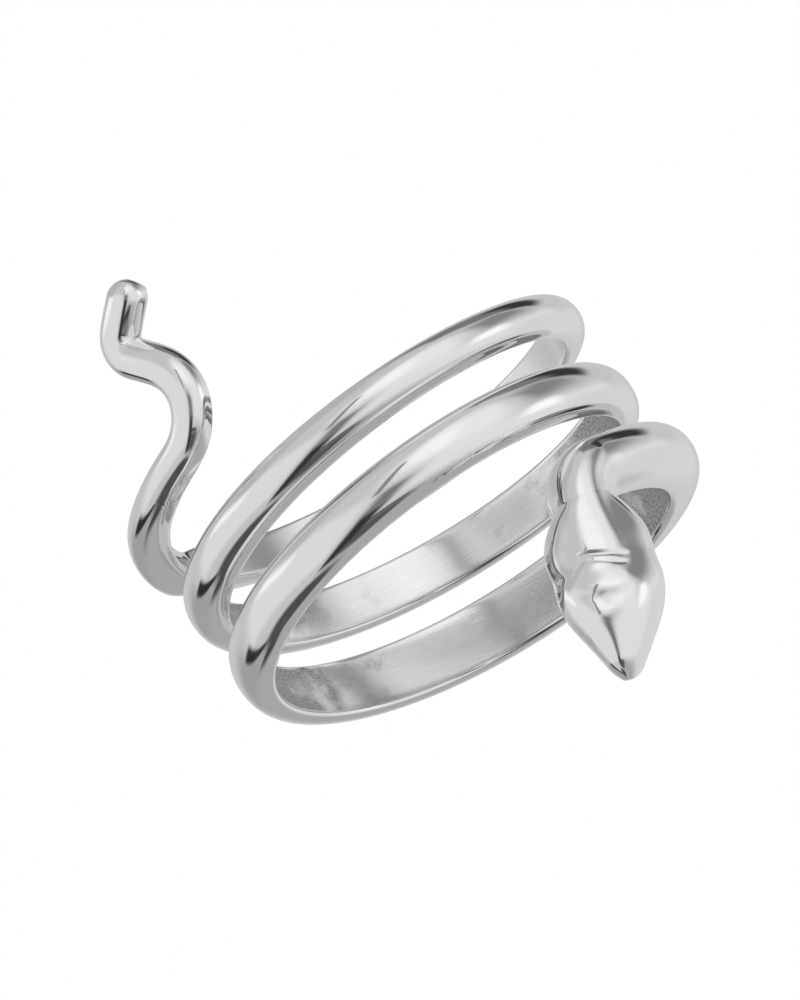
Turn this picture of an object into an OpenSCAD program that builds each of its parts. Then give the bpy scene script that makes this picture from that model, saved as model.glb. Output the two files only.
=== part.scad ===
// Snake ring that wraps round a finger, cast as one solid body.
// The body is a band with a flat inner face and a domed outer face. It climbs round the finger
// from the neck, at the lower end, to the tail, at the upper end. The neck bends down out of the
// coil into a flat viper head. The tail leaves the coil in a wave that hugs the finger.
// The body's middle line is laid out on the finger's surface unrolled flat: x runs round the
// finger, y runs up along it, and a heading of 0 degrees points round, 90 degrees up.
// The ring stands as it comes to rest by itself, on its snout and the edge of its lowest turn.

/* [Finger] */
// Diameter of the finger hole
bore_d = 17; // [15:0.25:21]

/* [Coil] */
// Turns of the band between the neck's bend and the tail
coil_turns = 2.55; // [2.3:0.01:3.4]
// Climb of the band in one turn
pitch = 3.45; // [3.3:0.05:5]
// Width of the band at its widest, on the first turn
band_w = 2.8; // [2.2:0.1:3]
// Height of the band off the finger
band_t = 1.3; // [1.1:0.05:1.6]
// Squareness of the body's outer dome, where 2 is an ellipse
dome_power = 2.2; // [2:0.1:3]

/* [Neck and head] */
// Angle through which the neck bends down out of the coil
neck_turn = 73; // [50:1:80]
// Radius of the bend's inner edge at its tightest
neck_in_r = 0.3; // [0.2:0.05:1]
// Width of the neck at the bend
neck_w = 2.4; // [2.2:0.1:2.8]
// Height of the neck off the finger
neck_t = 2.1; // [1.7:0.1:2.3]
// Length from the bend to the tip of the snout
head_len = 7.3; // [6.6:0.1:9]
// Width of the head across the cheeks
head_w = 4.3; // [3.7:0.1:5]
// Height of the head's crown off the finger
head_t = 2.3; // [2:0.1:2.8]
// Angle through which the head swings back towards the coil, from the bend to the snout
head_turn = 12; // [0:1:20]
// Angle by which the head leans sideways, towards the coil
head_roll = 20; // [0:1:24]
// Radius of the snout's rounded tip
snout_r = 0.6; // [0.4:0.1:0.9]

/* [Tail] */
// Length of the wavy tail along its middle line
tail_len = 19.4; // [17:0.2:23]
// Width of the tail
tail_w = 1.5; // [1.2:0.1:1.7]
// Height of the tail
tail_t = 1.35; // [1.1:0.05:1.6]
// Height to which the tail stands off the finger where it leaves the coil
tail_lift = 0.6; // [0:0.1:0.8]

/* [Hidden] */
SILVER = "#c9cacc";
bore_r = bore_d / 2;

// The tables' rows stand at equal steps along the stretch that they describe.
// The coil, neck to tail: drift off the even climb as a share of the pitch, then width and height
// as shares of the band's
COIL = [
    [-0.03, 0.86, 1.59],
    [0.02, 0.99, 1.41],
    [0.03, 0.98, 1.11],
    [0.11, 0.87, 0.94],
    [0.06, 0.79, 0.90],
    [0.02, 0.82, 0.94],
    [-0.035, 0.81, 0.99],
    [0.055, 0.79, 0.96],
    [0.06, 0.78, 1.07],
    [0.00, 0.73, 0.99],
    [-0.035, 0.61, 1.00],
    [0.115, 0.66, 0.94],
    [0.14, 0.62, 0.97],
    [-0.035, 0.62, 1.27]
];
function drift(row) = row[0];
function coil_wide(row) = row[1];
function coil_high(row) = row[2];
// The head, neck to snout: width and height as shares of the head's
HEAD = [
    [0.26, 0.91],
    [0.63, 0.92],
    [0.89, 0.94],
    [0.92, 0.93],
    [0.96, 0.97],
    [0.86, 0.96],
    [0.63, 0.87],
    [0.39, 0.69],
    [0.16, 0.48]
];
function head_wide(row) = row[0];
function head_high(row) = row[1];
// Soft ridges and hollows on the head's top: name, where one starts and where it ends, each along
// the head and across its half width, its half width at either end as a share of the head's, its
// power, and its rise as a share of the head's height. A power of 2 gives a round form, and a
// higher one a flat form with steeper sides.
FORMS = [
    ["neck strip", -0.20, 0.17, 0.33, -0.04, 0.26, 0.38, 6, 0.040],
    ["left valley", -0.10, 0.62, 0.22, 0.84, 0.30, 0.30, 2, -0.045],
    ["right valley", 0.05, -0.36, 0.36, -0.62, 0.14, 0.20, 2, -0.030],
    ["forehead", 0.47, 0.22, 0.52, -0.16, 0.30, 0.28, 4, 0.045],
    ["left cheek", 0.48, 0.66, 0.72, 0.38, 0.34, 0.28, 2, 0.070],
    ["right cheek", 0.60, -0.44, 0.70, -0.36, 0.32, 0.30, 2, 0.070],
    ["keel", 0.56, 0.10, 0.98, 0.02, 0.26, 0.14, 2, 0.032]
];
function form_from(form) = [form[1], form[2]];
function form_to(form) = [form[3], form[4]];
function form_reach(form) = [form[5], form[6]];
function form_power(form) = form[7];
function form_rise(form) = form[8];
// The tail's wave, coil to tip: a bend's radius at its tightest as a share of the tail's width,
// its turn, and the straight after it as a share of the length that the bends leave
WAVE = [
    [7.00, 12, 0.06],
    [12.00, -9, 0.53],
    [1.30, 125, 0.06],
    [0.56, -92, 0.35]
];
function wave_radius(row) = row[0];
function wave_turn(row) = row[1];
function wave_straight(row) = row[2];
// The tail, coil to tip: height off the finger as a share of the lift, then width and height as
// shares of the tail's
TAIL = [
    [1.14, 1.05, 1.01],
    [1.09, 0.97, 1.00],
    [0.43, 1.00, 0.86],
    [0.45, 1.01, 0.78],
    [0.29, 1.09, 0.89],
    [0.00, 1.08, 0.95]
];
function tail_off(row) = row[0];
function tail_wide(row) = row[1];
function tail_high(row) = row[2];

// Share of a bend over which its curvature builds up, and again fades
ease_share = 0.25;
// Share of the head's length over which the neck widens into it, and over which it leans
widen_share = 0.4;
lean_share = 0.3;
// Share of a soft form's own length over which its ends blend out
form_blur = 0.12;
// Depth below the finger's surface to which the body reaches before the hole is cut
bite = 0.3;
// Share of its height at which the body is widest
waist = 0.22;
// Squareness of the body's underside
under_power = 4;
// Stations along the head, the bend, each turn of the coil and the tail
head_steps = 22;
bend_steps = 9;
turn_steps = 48;
tail_steps = 44;
// Stations on each rounded tip, and the last one's place as an angle on it
tip_steps = 5;
tip_end = 84;
// Points round a section
ring_points = 20;
// Steps in which the middle line of the head and tail is followed
trace_steps = 120;
eps = 0.001;

// The ring's turn about the hole, which brings the snout to the front, and how many times its lean
// is worked out anew
rest_spin = -75.3;
lean_tries = 4;

function mix(a, b, k) = a + (b - a) * k;
function sum(list) = list * [for (item = list) 1];
function row_at(table, i) =
    let (last = len(table) - 1)
    i < 0 ? 2 * table[0] - table[1] : i > last ? 2 * table[last] - table[last - 1] : table[i];
// Row of a table at a share u of its length, smoothed by a cubic B-spline
function read(table, u) =
    let (
        x = u * (len(table) - 1),
        i = max(0, min(floor(x), len(table) - 2)),
        f = x - i,
        g = 1 - f
    )
    (
        g * g * g * row_at(table, i - 1)
        + (3 * f * f * f - 6 * f * f + 4) * row_at(table, i)
        + (3 * g * g * g - 6 * g * g + 4) * row_at(table, i + 1)
        + f * f * f * row_at(table, i + 2)
    ) / 6;

// Share of a bend's turn made at a share x of its length
function bent(x) =
    let (a = ease_share, full = 1 - a)
    x <= 0 ? 0
    : x >= 1 ? 1
    : x < a ? x * x / (2 * a * full)
    : x > full ? 1 - (1 - x) * (1 - x) / (2 * a * full)
    : (x - a / 2) / full;
// Length of a bend with radius r at its tightest
function bend_length(r, turn) = r * abs(turn) * PI / 180 / (1 - ease_share);
// Soft step from 0 to 1
function soft(x) =
    let (k = max(0, min(1, x)))
    k * k * (3 - 2 * k);

// A leg is a stretch of the middle line, with a length and a turn
function leg_long(leg) = leg[0];
function leg_turn(leg) = leg[1];
function leg_starts(legs) =
    [for (i = 0, s = 0; i < len(legs); s = s + leg_long(legs[i]), i = i + 1) s];
function legs_length(legs) = sum([for (leg = legs) leg_long(leg)]);
// Heading at a distance s along the legs
function heading_on(legs, starts, first, s) =
    first + sum([
        for (i = [0:len(legs) - 1])
            leg_turn(legs[i]) * bent((s - starts[i]) / leg_long(legs[i]))
    ]);
// Middle line along the legs in even steps, each point being x, y and heading
function trace(legs, from, first) =
    let (
        starts = leg_starts(legs),
        step = legs_length(legs) / trace_steps,
        turn = [for (i = [0:trace_steps]) heading_on(legs, starts, first, (i + 0.5) * step)]
    )
    [
        for (
            i = 0, p = from;
            i <= trace_steps;
            p = p + step * [cos(turn[i]), sin(turn[i])], i = i + 1
        )
            [p[0], p[1], heading_on(legs, starts, first, i * step)]
    ];
// Point of a traced line at a share u of its length
function on_line(line, u) =
    let (x = u * trace_steps, i = max(0, min(floor(x), trace_steps - 1)))
    mix(line[i], line[i + 1], x - i);

// A station holds the middle line's x, y and heading, the body's width and height, how far a tip
// is still open, the lift off the finger, the sideways roll, and the place along the head
function heading(station) = station[2];
function wide(station) = station[3];
function high(station) = station[4];
function still_open(station) = station[5];
function lift(station) = station[6];
function roll(station) = station[7];
function along(station) = station[8];
// Place along the head of a station that is far from it
far_off = -9;

// The coil's middle line and stations, at a share u of its length
function coil_round(u) = 2 * PI * bore_r * coil_turns * u;
function coil_up(u) = pitch * (coil_turns * u + drift(read(COIL, u)));
function coil_heading(u) =
    atan2(coil_up(u + eps) - coil_up(u - eps), coil_round(u + eps) - coil_round(u - eps));
function coil_station(u) =
    let (
        row = read(COIL, u),
        w = band_w * coil_wide(row),
        t = band_t * coil_high(row)
    )
    [coil_round(u), coil_up(u), coil_heading(u), w, t, 1, 0, 0, far_off];

// How far a rounded tip is still open at a distance d from its end
function open_at(d, r) = d >= r ? 1 : sqrt(1 - pow(1 - d / r, 2));

// The neck's bend and the head, which set out backwards from the coil's start
coil_start = coil_station(0);
bend_len = bend_length(neck_in_r + neck_w / 2, neck_turn);
neck_legs = [[bend_len, neck_turn], [head_len, -head_turn]];
neck_line = trace(neck_legs, [coil_start.x, coil_start.y], heading(coil_start) + 180);
neck_len = legs_length(neck_legs);
neck_more_w = neck_w - head_w * head_wide(HEAD[0]);
neck_more_t = neck_t - head_t * head_high(HEAD[0]);
function neck_station(s) =
    let (
        point = on_line(neck_line, s / neck_len),
        u = (s - bend_len) / head_len,
        row = read(HEAD, max(0, u)),
        into_neck = soft(s / bend_len),
        still_neck = 1 - soft(u / widen_share),
        w = head_w * head_wide(row) + neck_more_w * still_neck,
        t = head_t * head_high(row) + neck_more_t * still_neck
    )
    [
        point.x,
        point.y,
        heading(point) - 180,
        mix(wide(coil_start), w, into_neck),
        mix(high(coil_start), t, into_neck),
        open_at(neck_len - s, snout_r),
        0,
        head_roll * soft(s / (bend_len + lean_share * head_len)),
        u
    ];

// The tail, which sets out from the coil's end
coil_end = coil_station(1);
tail_bends = [for (row = WAVE) bend_length(wave_radius(row) * tail_w, wave_turn(row))];
tail_free = tail_len - sum(tail_bends);
tail_legs = [
    for (i = [0:len(WAVE) - 1])
        each [[tail_bends[i], wave_turn(WAVE[i])], [wave_straight(WAVE[i]) * tail_free, 0]]
];
tail_line = trace(tail_legs, [coil_end.x, coil_end.y], heading(coil_end));
tail_r = tail_w / 2;
function tail_station(s) =
    let (
        point = on_line(tail_line, s / tail_len),
        row = read(TAIL, s / tail_len),
        settled = soft(s / tail_w)
    )
    [
        point.x,
        point.y,
        heading(point),
        mix(wide(coil_end), tail_w * tail_wide(row), settled),
        mix(high(coil_end), tail_t * tail_high(row), settled),
        open_at(tail_len - s, tail_r),
        tail_lift * tail_off(row) * settled,
        0,
        far_off
    ];

// Distances of the stations on a rounded tip from where its rounding starts
function tip_places(r) = [for (i = [1:tip_steps]) r * sin(i / tip_steps * tip_end)];
neck_places = [
    for (i = [1:bend_steps]) i / bend_steps * bend_len,
    for (i = [1:head_steps]) bend_len + i / head_steps * (head_len - snout_r),
    for (d = tip_places(snout_r)) neck_len - snout_r + d
];
tail_places = [
    for (i = [1:tail_steps]) i / tail_steps * (tail_len - tail_r),
    for (d = tip_places(tail_r)) tail_len - tail_r + d
];
coil_steps = round(turn_steps * coil_turns);
stations = [
    for (i = [len(neck_places) - 1:-1:0]) neck_station(neck_places[i]),
    for (i = [0:coil_steps]) coil_station(i / coil_steps),
    for (s = tail_places) tail_station(s)
];

// Rise of the head's soft forms at a place p, along it and across its half width as shares
head_half = head_w / 2;
function in_half_widths(p) = [p.x * head_len / head_half, p.y];
function blended(k) = (1 + norm([k, form_blur]) - norm([k - 1, form_blur])) / 2;
function form_at(form, p) =
    let (
        run = in_half_widths(form_to(form) - form_from(form)),
        past = in_half_widths(p - form_from(form)),
        share = blended(past * run / (run * run)),
        reach = mix(form_reach(form)[0], form_reach(form)[1], share)
    )
    form_rise(form) * exp(-pow(norm(past - share * run) / reach, form_power(form)));
function forms_at(p) = head_t * sum([for (form = FORMS) form_at(form, p)]);

// Section of the body at a station: points across and off the finger's surface
function signed_pow(x, p) = sign(x) * pow(abs(x), p);
function rolled(p, a) = [p.x * cos(a) + p.y * sin(a), p.y * cos(a) - p.x * sin(a)];
function section_point(station, angle) =
    let (
        top = sin(angle) > 0,
        power = 2 / (top ? dome_power : under_power),
        across = signed_pow(cos(angle), power),
        off = signed_pow(sin(angle), power),
        middle = high(station) * waist,
        beside = wide(station) / 2 * across,
        dome = high(station) - middle + forms_at([along(station), beside / head_half]),
        full = [beside, middle + (top ? dome : middle + bite) * off],
        core = [0, high(station) / 2]
    )
    rolled(mix(core, full, still_open(station)), roll(station)) + [0, lift(station)];
// Point of a section wrapped round the finger
function wrapped(station, p) =
    let (
        round_it = station.x - p.x * sin(heading(station)),
        a = round_it / bore_r * 180 / PI,
        r = bore_r + p.y
    )
    [r * cos(a), r * sin(a), station.y + p.x * cos(heading(station))];
section_angles = [for (j = [0:ring_points - 1]) (j + 0.5) * 360 / ring_points];

points = [for (s = stations, angle = section_angles) wrapped(s, section_point(s, angle))];
last_ring = len(stations) - 1;
function corner(i, j) = i * ring_points + j % ring_points;
faces = [
    [for (j = [0:ring_points - 1]) corner(0, j)],
    for (i = [0:last_ring - 1], j = [0:ring_points - 1])
        each [
            [corner(i, j), corner(i + 1, j), corner(i + 1, j + 1)],
            [corner(i, j), corner(i + 1, j + 1), corner(i, j + 1)]
        ],
    [for (j = [ring_points - 1:-1:0]) corner(last_ring, j)]
];

// The ring leans until it touches its surface both with the snout, in front, and with the lowest
// turn's edge, behind. Points here are turned by rest_spin, so that the ring leans along Y.
function spun(p) =
    [
        p.x * cos(rest_spin) - p.y * sin(rest_spin),
        p.x * sin(rest_spin) + p.y * cos(rest_spin),
        p.z
    ];
standing = [for (p = points) if (norm([p.x, p.y]) > bore_r) spun(p)];
front = [for (p = standing) if (p.y < 0) p];
behind = [for (p = standing) if (p.y > 0) p];
function leant(p, lean) =
    [p.x, p.y * cos(lean) - p.z * sin(lean), p.y * sin(lean) + p.z * cos(lean)];
function lowest(list, lean) =
    let (heights = [for (p = list) leant(p, lean).z])
    list[search(min(heights), heights)[0]];
function lean_from(lean, tries) =
    tries == 0 ? lean
    : let (step = lowest(behind, lean) - lowest(front, lean))
    lean_from(-atan2(step.z, step.y), tries - 1);
rest_lean = lean_from(0, lean_tries);

// Middle of the underside of the ring's box at rest
resting = [for (p = standing) leant(p, rest_lean)];
function low(axis) = min([for (p = resting) p[axis]]);
function high_end(axis) = max([for (p = resting) p[axis]]);
foot = [(low(0) + high_end(0)) / 2, (low(1) + high_end(1)) / 2, low(2)];
hole_len = 4 * bore_d;

module snake_ring() {
    color(SILVER)
        translate(-foot)
            rotate([rest_lean, 0, 0])
                rotate([0, 0, rest_spin])
                    difference() {
                        polyhedron(points = points, faces = faces, convexity = 12);
                        cylinder(h = hole_len, r = bore_r, center = true, $fn = 120);
                    }
}

snake_ring();
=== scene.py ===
"""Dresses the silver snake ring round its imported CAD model.

The ring is one casting, so it is one piece, SnakeRing, which is built from the same named sizes as
the CAD source, at a finer step: CoilBand, NeckAndHead and WavyTail each give a run of stations
along the body, and Section turns a station into the outline of the metal there. Lengths are in
millimetres and angles in degrees until the mesh is made, which is in metres.
"""

from __future__ import annotations

import logging
import math
from dataclasses import dataclass, field, fields
from enum import Enum
from typing import NamedTuple

import bpy
import numpy as np
from mathutils import Matrix, Vector

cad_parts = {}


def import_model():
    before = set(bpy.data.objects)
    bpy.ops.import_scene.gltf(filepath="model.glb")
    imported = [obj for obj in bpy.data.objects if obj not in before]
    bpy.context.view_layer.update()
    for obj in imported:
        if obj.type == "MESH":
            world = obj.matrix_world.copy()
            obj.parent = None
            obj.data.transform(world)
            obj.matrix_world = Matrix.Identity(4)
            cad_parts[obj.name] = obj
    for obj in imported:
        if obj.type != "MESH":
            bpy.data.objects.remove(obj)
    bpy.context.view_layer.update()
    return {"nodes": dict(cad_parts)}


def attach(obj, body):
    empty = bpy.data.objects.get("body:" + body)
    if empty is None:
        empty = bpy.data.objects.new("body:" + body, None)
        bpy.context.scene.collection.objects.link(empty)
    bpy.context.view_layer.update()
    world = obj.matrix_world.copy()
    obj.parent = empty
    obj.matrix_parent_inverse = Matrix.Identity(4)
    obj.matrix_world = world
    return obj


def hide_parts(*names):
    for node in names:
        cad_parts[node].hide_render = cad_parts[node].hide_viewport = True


log = logging.getLogger("snake_ring")

MM = 0.001


class Region(Enum):
    """The finishes of the casting, by the place of their material on the mesh."""

    OUTSIDE = 0
    INSIDE = 1
    UNDERSIDE = 2


def mixed(a: np.ndarray, b: np.ndarray, share: np.ndarray) -> np.ndarray:
    """Value at a share of the way from a to b."""
    return a + (b - a) * share


def soft_step(x: np.ndarray) -> np.ndarray:
    """Soft step from 0 to 1."""
    k = np.clip(x, 0.0, 1.0)
    return k * k * (3.0 - 2.0 * k)


def signed_power(x: np.ndarray, power: np.ndarray) -> np.ndarray:
    """Power of a number's size, with the number's own sign."""
    return np.sign(x) * np.abs(x) ** power


def read_rows(rows: tuple[tuple[float, ...], ...], share: np.ndarray) -> np.ndarray:
    """Reads a table at shares of its length, smoothed by a cubic B-spline.

    Args:
        rows: The table, whose rows stand at equal steps.
        share: Places along it, from 0 to 1.

    Returns:
        One row of values for each place.
    """
    table = np.array(rows, float)
    ends = (2 * table[0] - table[1], 2 * table[-1] - table[-2])
    table = np.vstack([ends[0], table, ends[1]])
    x = np.atleast_1d(share) * (len(rows) - 1)
    i = np.clip(np.floor(x), 0, len(rows) - 2).astype(int)
    f = (x - i)[:, None]
    g = 1.0 - f
    return (
        g**3 * table[i]
        + (3 * f**3 - 6 * f**2 + 4) * table[i + 1]
        + (3 * g**3 - 6 * g**2 + 4) * table[i + 2]
        + f**3 * table[i + 3]
    ) / 6.0


@dataclass(frozen=True)
class Leg:
    """A stretch of the middle line, with a length and a turn.

    Args:
        length: Length along the line.
        turn: Change of heading over it.
    """

    length: float
    turn: float

    # Share of a leg over which its turn builds up, and over which it fades
    EASE = 0.25

    @classmethod
    def bend(cls, radius: float, turn: float) -> Leg:
        """Bend with the given radius at its tightest."""
        return cls(radius * math.radians(abs(turn)) / (1.0 - cls.EASE), turn)

    def turned(self, distance: np.ndarray) -> np.ndarray:
        """Turn made since the leg's start, which builds up and fades softly.

        Args:
            distance: Distances along the line from the leg's start.

        Returns:
            The turn at each, from none before the leg to the whole turn past it.
        """
        ease = self.EASE
        full = 1.0 - ease
        x = np.clip(distance / self.length, 0.0, 1.0)
        rising = x * x / (2 * ease * full)
        falling = 1.0 - (1.0 - x) ** 2 / (2 * ease * full)
        even = (x - ease / 2) / full
        return self.turn * np.where(x < ease, rising, np.where(x > full, falling, even))


@dataclass(frozen=True)
class MiddleLine:
    """Middle line along some legs, on the finger's surface unrolled flat.

    Args:
        legs: The legs in order.
        start: Where the line starts: round the finger and up along it.
        heading: Heading at the start.
    """

    legs: tuple[Leg, ...]
    start: tuple[float, float]
    heading: float

    # Steps in which the line is followed
    STEPS = 1200

    def length(self) -> float:
        """Length of all the legs."""
        return sum(leg.length for leg in self.legs)

    def heading_at(self, distance: np.ndarray) -> np.ndarray:
        """Heading of the line.

        Args:
            distance: Distances along it.

        Returns:
            The heading at each.
        """
        heading = np.full_like(distance, self.heading, dtype=float)
        begun = 0.0
        for leg in self.legs:
            heading = heading + leg.turned(distance - begun)
            begun += leg.length
        return heading

    def at(self, distance: np.ndarray) -> tuple[np.ndarray, np.ndarray, np.ndarray]:
        """Follows the line.

        Args:
            distance: Distances along it.

        Returns:
            Place round the finger, place up along it, and heading.
        """
        step = self.length() / self.STEPS
        places = np.arange(self.STEPS + 1) * step
        turn = np.radians(self.heading_at(places[:-1] + step / 2))
        x = self.start[0] + np.concatenate([[0.0], np.cumsum(np.cos(turn)) * step])
        y = self.start[1] + np.concatenate([[0.0], np.cumsum(np.sin(turn)) * step])
        x_at, y_at = np.interp(distance, places, x), np.interp(distance, places, y)
        return x_at, y_at, self.heading_at(distance)


@dataclass
class Stations:
    """Places along the body, with one number for each place in every field.

    Args:
        x: Place round the finger.
        y: Place up along the finger.
        heading: Heading of the middle line.
        wide: Width of the body.
        high: Height of the body off the finger.
        still_open: How far a rounded tip is still open, from 0 to 1.
        lift: Distance of the body off the finger.
        roll: Sideways lean of the body.
        edge: Size of the rounding where the outside meets the inside.
        on_head: Place along the head from 0, at the neck, to 1, at the snout.
    """

    x: np.ndarray
    y: np.ndarray
    heading: np.ndarray
    wide: np.ndarray
    high: np.ndarray
    still_open: np.ndarray
    lift: np.ndarray
    roll: np.ndarray
    edge: np.ndarray
    on_head: np.ndarray

    # Place along the head of a station that is nowhere near it
    FAR_OFF = -9.0

    @classmethod
    def joined(cls, runs: list[Stations]) -> Stations:
        """One run made of several, end to end."""
        return cls(*[np.concatenate([getattr(run, f.name) for run in runs]) for f in fields(cls)])

    def reversed(self) -> Stations:
        """The same stations from the far end."""
        return Stations(*[getattr(self, f.name)[::-1] for f in fields(self)])

    def along(self) -> np.ndarray:
        """Distance of each station along the body."""
        steps = np.hypot(np.diff(self.x), np.diff(self.y))
        return np.concatenate([[0.0], np.cumsum(steps)])


def tip_places(radius: float, steps: int) -> np.ndarray:
    """Distances of the stations on a rounded tip from where its rounding starts."""
    return radius * np.sin(np.radians(90.0) * np.arange(1, steps + 1) / steps)


def open_at(distance: np.ndarray, radius: float) -> np.ndarray:
    """How far a rounded tip is still open at a distance from its end."""
    return np.sqrt(np.maximum(0.0, 1.0 - (1.0 - np.clip(distance / radius, 0.0, 1.0)) ** 2))


class CoilRow(NamedTuple):
    """Row of the coil: drift off its even climb as a share of the pitch, width, height."""

    drift: float
    wide: float
    high: float


@dataclass(frozen=True)
class CoilBand:
    """The band that goes round the finger, from the neck to the tail.

    Args:
        finger_radius: Radius of the finger hole.
        turns: Turns of the band.
        pitch: Climb in one turn.
        wide: Width of the band at its widest.
        high: Height of the band.
        edge: Size of the rounding along its edges.
        rows: Drift, and width and height as shares, at equal steps along the coil.
    """

    finger_radius: float = 8.5
    turns: float = 2.55
    pitch: float = 3.45
    wide: float = 2.8
    high: float = 1.3
    edge: float = 0.2
    rows: tuple[CoilRow, ...] = (
        CoilRow(-0.03, 0.86, 1.59),
        CoilRow(0.02, 0.99, 1.41),
        CoilRow(0.03, 0.98, 1.11),
        CoilRow(0.11, 0.87, 0.94),
        CoilRow(0.06, 0.79, 0.90),
        CoilRow(0.02, 0.82, 0.94),
        CoilRow(-0.035, 0.81, 0.99),
        CoilRow(0.055, 0.79, 0.96),
        CoilRow(0.06, 0.78, 1.07),
        CoilRow(0.00, 0.73, 0.99),
        CoilRow(-0.035, 0.61, 1.00),
        CoilRow(0.115, 0.66, 0.94),
        CoilRow(0.14, 0.62, 0.97),
        CoilRow(-0.035, 0.62, 1.27),
    )

    # Share of the coil on either side of a station over which its heading is measured
    NEARBY = 0.001

    def round_at(self, share: np.ndarray) -> np.ndarray:
        """Distance round the finger at shares of the coil."""
        return 2 * math.pi * self.finger_radius * self.turns * share

    def up_at(self, share: np.ndarray) -> np.ndarray:
        """Distance up the finger at shares of the coil."""
        return self.pitch * (self.turns * share + read_rows(self.rows, share)[:, 0])

    def stations(self, steps: int) -> Stations:
        """Stations along the coil.

        Args:
            steps: Steps in one turn.

        Returns:
            The stations, both ends among them.
        """
        count = round(steps * self.turns)
        share = np.arange(count + 1) / count
        before, after = share - self.NEARBY, share + self.NEARBY
        climb = self.up_at(after) - self.up_at(before)
        going = self.round_at(after) - self.round_at(before)
        row = read_rows(self.rows, share)
        same = np.ones(count + 1)
        return Stations(
            x=self.round_at(share),
            y=self.up_at(share),
            heading=np.degrees(np.arctan2(climb, going)),
            wide=self.wide * row[:, 1],
            high=self.high * row[:, 2],
            still_open=same,
            lift=0 * same,
            roll=0 * same,
            edge=self.edge * same,
            on_head=Stations.FAR_OFF * same,
        )


class HeadRow(NamedTuple):
    """Row of the head: width and height as shares of the head's."""

    wide: float
    high: float


class SoftForm(NamedTuple):
    """Soft ridge or hollow on the head's top, which runs from one place to another.

    Places are shares of the head's length and half width. The reach is the form's half width at
    either end as a share of the head's, and the rise is a share of the head's height. A power of
    two gives a round form, and a higher one a flat form with steeper sides.
    """

    name: str
    from_along: float
    from_across: float
    to_along: float
    to_across: float
    from_reach: float
    to_reach: float
    power: float
    rise: float

    def at(
        self, along: np.ndarray, across: np.ndarray, stretch: float, end_blur: float
    ) -> np.ndarray:
        """Rise of the form.

        Args:
            along: Places along the head, as shares.
            across: Places across it, as shares of its half width.
            stretch: The head's length in half widths.
            end_blur: Share of the form's own length over which its ends blend out.

        Returns:
            The rise at each place, as a share of the head's height.
        """
        run_along = (self.to_along - self.from_along) * stretch
        run_across = self.to_across - self.from_across
        past_along = (along - self.from_along) * stretch
        past_across = across - self.from_across
        share = (past_along * run_along + past_across * run_across) / (run_along**2 + run_across**2)
        share = (1.0 + np.hypot(share, end_blur) - np.hypot(share - 1.0, end_blur)) / 2.0
        gap = np.hypot(past_along - share * run_along, past_across - share * run_across)
        reach = mixed(self.from_reach, self.to_reach, share)
        return self.rise * np.exp(-((gap / reach) ** self.power))


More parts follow.
